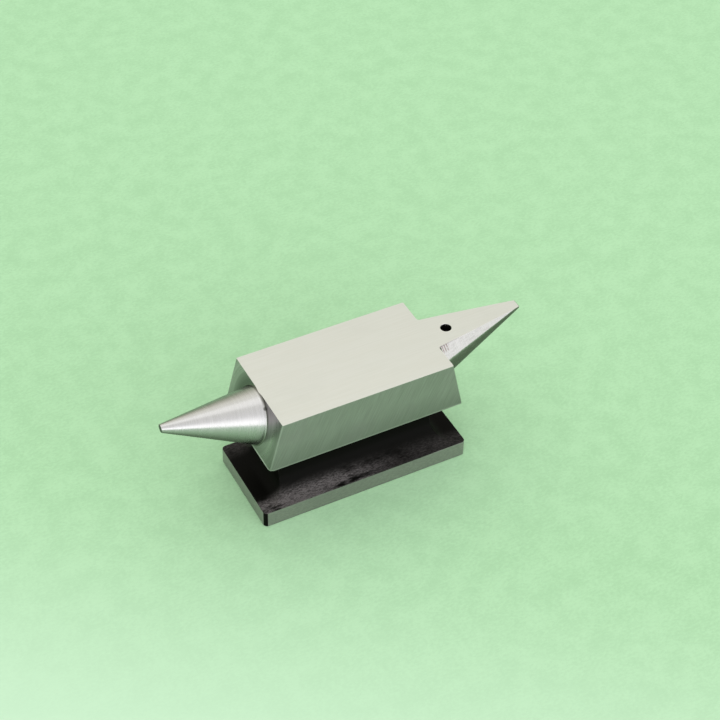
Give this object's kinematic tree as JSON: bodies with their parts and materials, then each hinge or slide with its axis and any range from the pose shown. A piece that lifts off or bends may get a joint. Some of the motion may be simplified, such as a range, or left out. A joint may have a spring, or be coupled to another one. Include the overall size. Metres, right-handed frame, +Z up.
{
  "type": "bench anvil",
  "caption": "Small bench anvil with a round horn, a flat-topped horn with a pritchel hole, a flat work face and a waisted foot.",
  "frame": {"origin": "centre of the foot's underside, on the bench", "axes": "+X towards the tip of the flat-topped horn, +Z up through the work face"},
  "size_m": [0.1266, 0.034, 0.0432],
  "materials": {
    "ground_steel": "surface-ground, satin",
    "turned_steel": "lathe-turned, bright",
    "black_iron": "black, satin, with ground edges",
    "screw_steel": "black oxide",
    "spring_steel": "dull",
    "dowel_steel": "ground"
  },
  "bodies": {
    "root": {"face_block": "ground_steel", "round_horn": "turned_steel", "flat_horn": "turned_steel", "foot": "black_iron", "round_horn_set_screw": "screw_steel", "flat_horn_set_screw": "screw_steel", "foot_screw_left": "screw_steel", "foot_screw_right": "screw_steel", "foot_washer_left": "spring_steel", "foot_washer_right": "spring_steel", "foot_dowel_left": "dowel_steel", "foot_dowel_right": "dowel_steel"}
  },
  "joints": []
}
